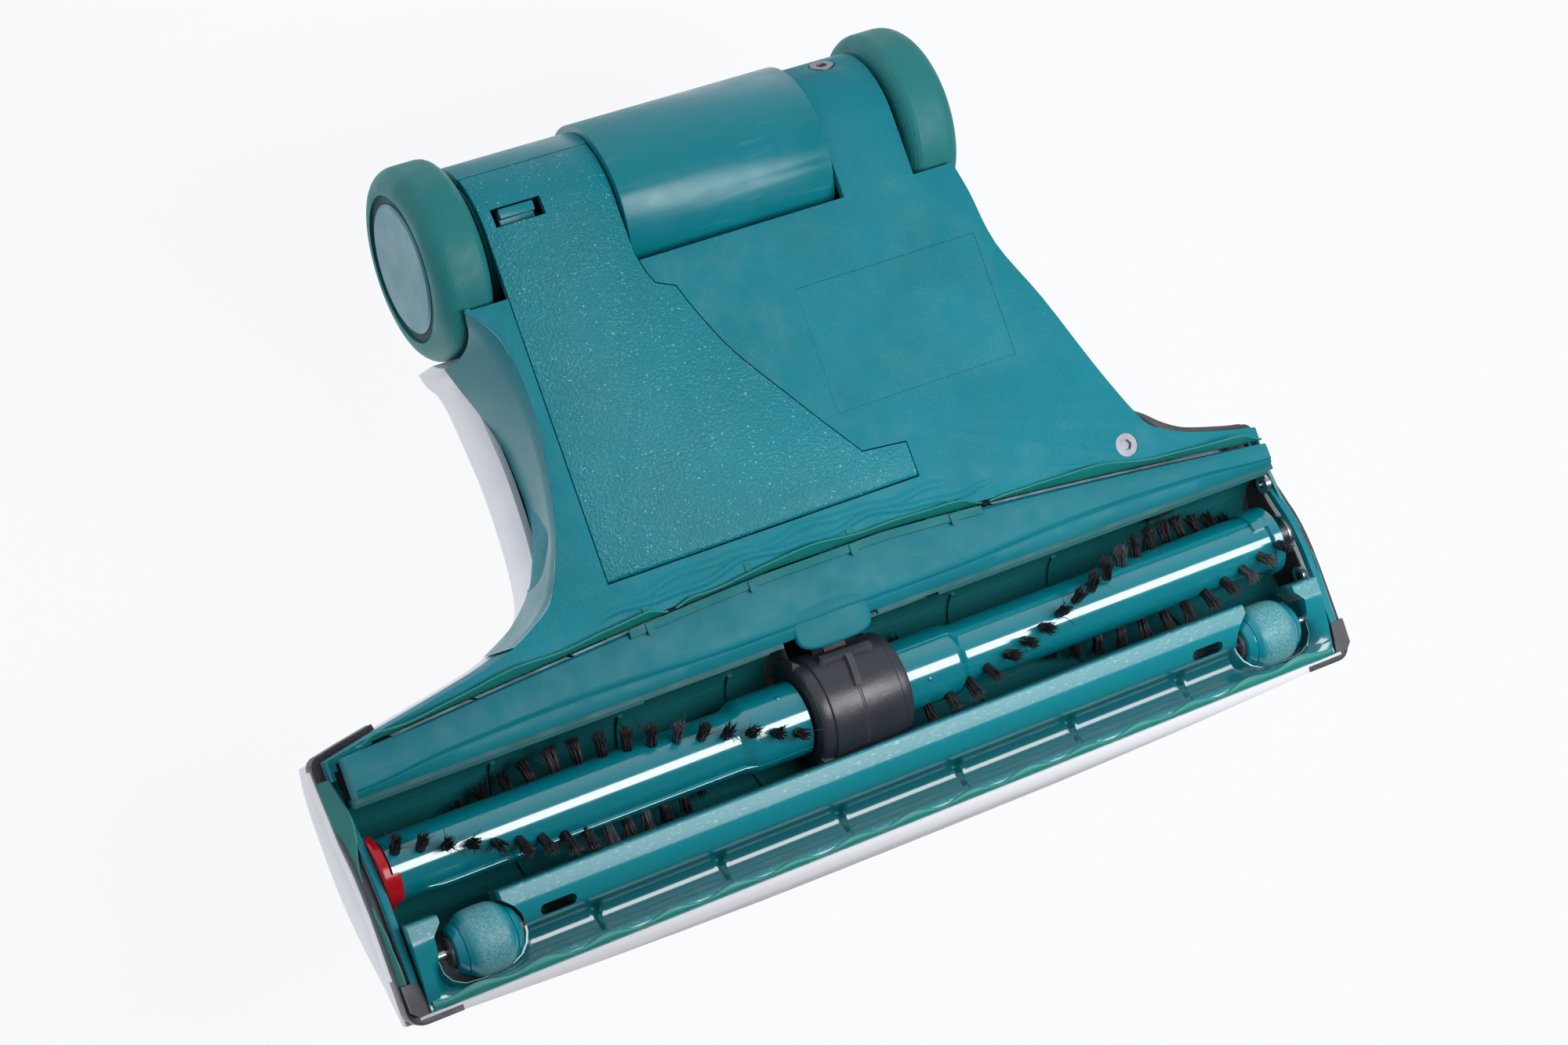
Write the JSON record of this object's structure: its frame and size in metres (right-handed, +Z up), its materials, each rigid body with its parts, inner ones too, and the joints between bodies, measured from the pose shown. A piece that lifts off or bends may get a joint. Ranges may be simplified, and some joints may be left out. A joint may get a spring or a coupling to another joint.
{
  "type": "electric carpet brush head",
  "caption": "Wide powered brush head for a vacuum cleaner: belt-driven bristle rollers, rear wheels, front rollers, hinged channel cover, tilting and swivelling neck.",
  "frame": {"origin": "on the floor, below the centre of the bounding box", "axes": "+X across the head, +Y from the nose to the rear wheels, +Z up from the floor"},
  "size_m": [0.354, 0.26, 0.15],
  "materials": {
    "teal_plastic": "fine-grained teal moulding",
    "teal_gloss": "smooth glossy teal moulding",
    "dark_teal": "dark teal inner moulding",
    "white_plastic": "smooth white moulding",
    "grey_soft": "soft dark grey bumper",
    "green_rubber": "soft green-teal rubber",
    "tyre_rubber": "soft green-teal tyre",
    "black_plastic": "black moulding",
    "black_rubber": "black rubber",
    "bristle": "stiff black bristle",
    "red_plastic": "glossy red moulding",
    "steel": "bright steel",
    "bronze": "sintered bronze",
    "clear_lens": "pale lens",
    "ivory_plastic": "ivory moulding",
    "board_green": "circuit board",
    "yellow_plastic": "yellow moulding"
  },
  "bodies": {
    "head": {"base_plate": "teal_plastic", "upper_housing": "white_plastic", "left_cheek": "teal_gloss", "bumper_left": "grey_soft", "bumper_right": "grey_soft", "brush_chamber": "dark_teal", "rear_bar": "teal_plastic", "front_frame": "teal_gloss", "front_lip": "green_rubber", "rear_lips": "green_rubber", "lip_strips": "steel", "side_lips": "green_rubber", "rating_plate": "teal_plastic", "suction_duct": "dark_teal", "housing_screws": "steel", "end_eyelets": "steel", "vent_disc": "dark_teal", "marker_peg": "yellow_plastic", "indicator_lens": "clear_lens", "bearing_pins": "steel", "drive_housing": "black_plastic", "drive_bushes": "bronze", "drive_belt": "black_rubber", "motor": "steel", "motor_cradle": "dark_teal", "circuit_board": "board_green", "motor_lead": "black_plastic", "wheel_axles": "steel", "roller_pins": "steel"},
    "brush": {"drive_shaft": "steel", "brush_pulley": "ivory_plastic", "brush_tube_left": "teal_gloss", "brush_tube_right": "teal_gloss", "bristles_left": "bristle", "bristles_right": "bristle", "end_cap": "red_plastic"},
    "rotor": {"motor_shaft": "steel", "motor_pulley": "ivory_plastic"},
    "wheel_left": {"tyre_left": "tyre_rubber", "wheel_hub_left": "teal_gloss", "hub_cap_left": "teal_gloss"},
    "wheel_right": {"tyre_right": "tyre_rubber", "wheel_hub_right": "teal_gloss", "hub_cap_right": "teal_gloss"},
    "roller_left": {"roller_left": "teal_gloss"},
    "roller_right": {"roller_right": "teal_gloss"},
    "cover": {"channel_cover": "teal_plastic", "latch_spring": "steel"},
    "latch": {"cover_latch": "teal_plastic"},
    "tilt": {"tilt_drum": "teal_gloss", "collar_ring": "teal_gloss", "neck_seal": "black_rubber"},
    "neck": {"neck_tube": "teal_plastic", "contact_block": "black_plastic", "button_spring": "steel"},
    "button": {"release_button": "black_plastic"}
  },
  "joints": [
    {"name": "brush_spin", "type": "hinge", "parent": "head", "child": "brush", "pos_m": [0, -0.0787, 0.0215], "axis": [1, 0, 0], "continuous": true},
    {"name": "rotor_spin", "type": "hinge", "parent": "head", "child": "rotor", "pos_m": [0, 0.01396, 0.04], "axis": [1, 0, 0], "continuous": true},
    {"name": "left_wheel_roll", "type": "hinge", "parent": "head", "child": "wheel_left", "pos_m": [0.085, 0.0978, 0.0322], "axis": [1, 0, 0], "continuous": true},
    {"name": "right_wheel_roll", "type": "hinge", "parent": "head", "child": "wheel_right", "pos_m": [-0.085, 0.0978, 0.0322], "axis": [1, 0, 0], "continuous": true},
    {"name": "left_roller_roll", "type": "hinge", "parent": "head", "child": "roller_left", "pos_m": [0.1475, -0.108, 0.0114], "axis": [1, 0, 0], "continuous": true},
    {"name": "right_roller_roll", "type": "hinge", "parent": "head", "child": "roller_right", "pos_m": [-0.1455, -0.108, 0.0114], "axis": [1, 0, 0], "continuous": true},
    {"name": "cover_swing", "type": "hinge", "parent": "head", "child": "cover", "pos_m": [0.017, -0.0165, 0.0065], "axis": [-1, 0, 0], "range_deg": [0, 80]},
    {"name": "latch_slide", "type": "slide", "parent": "cover", "child": "latch", "axis": [0, -1, 0], "range_m": [0, 0.002], "stiffness_N_per_m": 400, "springref_m": -0.001},
    {"name": "neck_tilt", "type": "hinge", "parent": "head", "child": "tilt", "pos_m": [-0.0095, 0.0978, 0.0322], "axis": [-1, 0, 0], "range_deg": [0, 80]},
    {"name": "neck_swivel", "type": "hinge", "parent": "tilt", "child": "neck", "pos_m": [-0.0095, 0.0978, 0.1], "axis": [0, 0, 1], "range_deg": [-60, 60]},
    {"name": "button_press", "type": "slide", "parent": "neck", "child": "button", "axis": [0, 1, 0], "range_m": [0, 0.002], "stiffness_N_per_m": 800, "springref_m": -0.0005}
  ],
  "couplings": [
    {"joint": "rotor_spin", "follows": "brush_spin", "ratio": 2}
  ]
}
